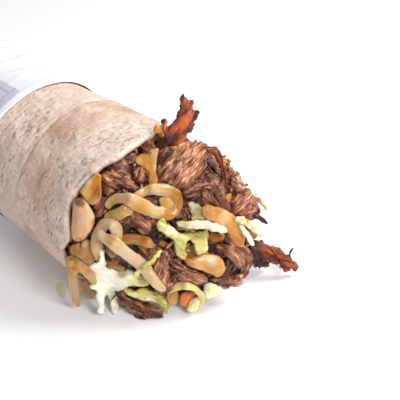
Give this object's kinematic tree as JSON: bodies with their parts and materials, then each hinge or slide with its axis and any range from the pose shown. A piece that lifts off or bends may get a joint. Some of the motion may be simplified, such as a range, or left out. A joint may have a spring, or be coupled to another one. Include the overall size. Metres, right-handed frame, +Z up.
{
  "type": "doner kebab wrap",
  "caption": "Rolled flatbread wrap, open at one end, filled with torn roast meat, fried onion and cabbage, its closed end held in a paper sleeve.",
  "frame": {"origin": "on the table, at the middle of the box round the whole wrap", "axes": "+X along the roll towards its open mouth, +Z up, +Y to the side where the filling leans out"},
  "size_m": [0.2074, 0.0822, 0.0741],
  "materials": {
    "bread": "thin toasted flatbread, dusted with flour, with browned blisters and pits",
    "paper": "smooth white wrapping paper, crumpled, with one faint lilac band",
    "meat": "roast meat torn along its fibres, browned and shiny with juice",
    "crisp": "dark red-brown crisp meat edge, glossy with fat",
    "onion": "soft fried onion, see-through amber, wet",
    "cabbage": "fresh shredded cabbage, white rib to green edge, moist",
    "carrot": "raw carrot sliver, orange, moist"
  },
  "bodies": {
    "root": {"flatbread": "bread", "paper_sleeve": "paper", "meat_filling": "meat", "meat_01": "meat", "meat_02": "meat", "meat_03": "meat", "meat_04": "meat", "meat_05": "meat", "meat_06": "meat", "meat_07": "meat", "meat_08": "meat", "meat_09": "meat", "meat_10": "meat", "meat_11": "meat", "meat_12": "meat", "meat_13": "meat", "meat_14": "meat", "meat_15": "meat", "meat_16": "meat", "meat_17": "meat", "onion_01": "onion", "onion_02": "onion", "onion_03": "onion", "onion_04": "onion", "onion_05": "onion", "onion_06": "onion", "onion_07": "onion", "onion_08": "onion", "onion_09": "onion", "onion_10": "onion", "onion_11": "onion", "onion_12": "onion", "onion_13": "onion", "onion_14": "onion", "onion_15": "onion", "onion_16": "onion", "cabbage_01": "cabbage", "cabbage_02": "cabbage", "cabbage_03": "cabbage", "cabbage_04": "cabbage", "cabbage_05": "cabbage", "cabbage_06": "cabbage", "cabbage_07": "cabbage", "cabbage_08": "cabbage", "cabbage_09": "cabbage", "cabbage_10": "cabbage", "cabbage_11": "cabbage", "cabbage_12": "cabbage", "cabbage_13": "cabbage", "cabbage_14": "cabbage", "cabbage_15": "cabbage", "cabbage_16": "cabbage", "cabbage_17": "cabbage", "crisp_01": "crisp", "crisp_02": "crisp", "crisp_03": "crisp", "crisp_04": "crisp", "carrot_01": "carrot"}
  },
  "joints": []
}
